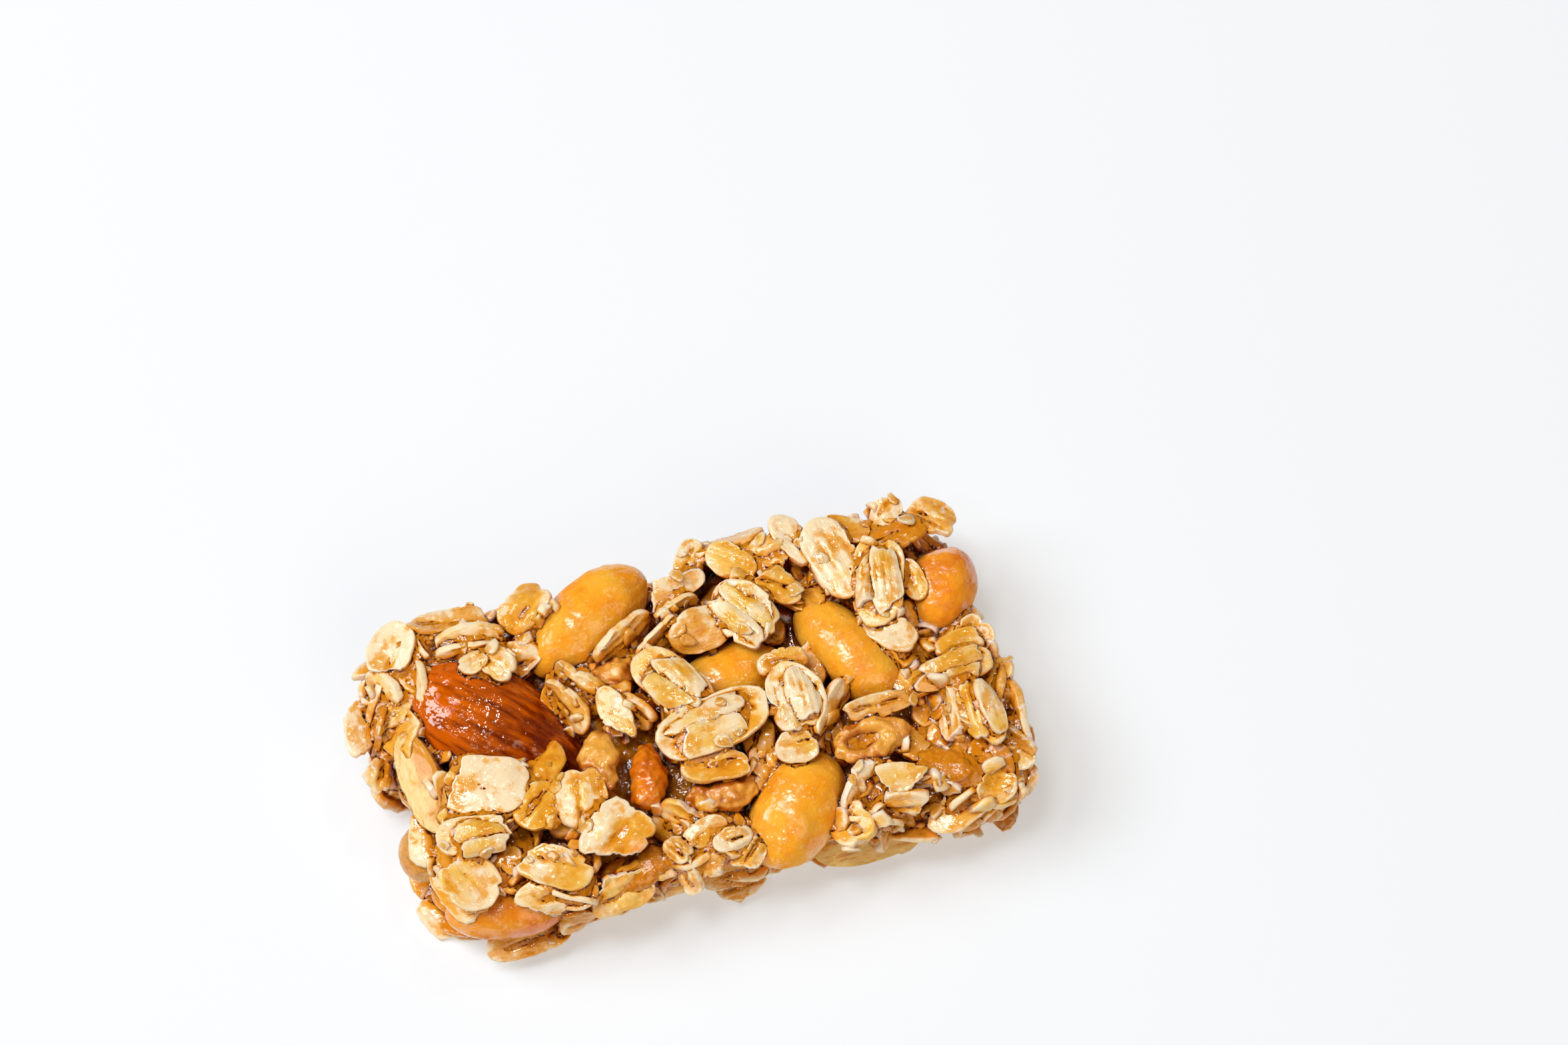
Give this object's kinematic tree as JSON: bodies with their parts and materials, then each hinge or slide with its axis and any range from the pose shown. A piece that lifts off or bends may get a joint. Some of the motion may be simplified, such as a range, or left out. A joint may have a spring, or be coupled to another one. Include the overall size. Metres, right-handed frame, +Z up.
{
  "type": "granola bar",
  "caption": "Short block of pressed oat flakes in golden syrup, crumbly at the edges, with a whole almond, peanuts, cut nuts and puffed rice crisps set in it.",
  "frame": {"origin": "centre of the bounding box at the flat underside, on the surface that the bar lies on", "axes": "+X along the bar's length, +Y across to its back, +Z up from the surface"},
  "size_m": [0.075, 0.04, 0.016],
  "materials": {
    "oats": "baked oat flakes, satin, partly glazed with syrup",
    "almond": "glazed brown almond skin, glossy",
    "peanut": "roasted peanut glazed with syrup, glossy",
    "cut_nut": "cut nut flesh, satin",
    "crisp": "glazed puffed rice, bubbly and glossy"
  },
  "bodies": {
    "root": {"oat_mass": "oats", "almond_whole": "almond", "almond_back_low": "almond", "peanut_back_left": "peanut", "peanut_right": "peanut", "peanut_front": "peanut", "peanut_middle": "peanut", "peanut_corner": "peanut", "peanut_front_left": "peanut", "peanut_back_low": "peanut", "peanut_right_low": "peanut", "nut_chunk": "peanut", "peanut_cut_left": "cut_nut", "almond_cut_left": "cut_nut", "peanut_half_front": "cut_nut", "almond_half_under": "cut_nut", "peanut_half_under": "cut_nut", "rice_crisp_left": "crisp", "rice_crisp_middle": "crisp", "rice_crisp_right": "crisp", "rice_crisp_back": "crisp"}
  },
  "joints": []
}
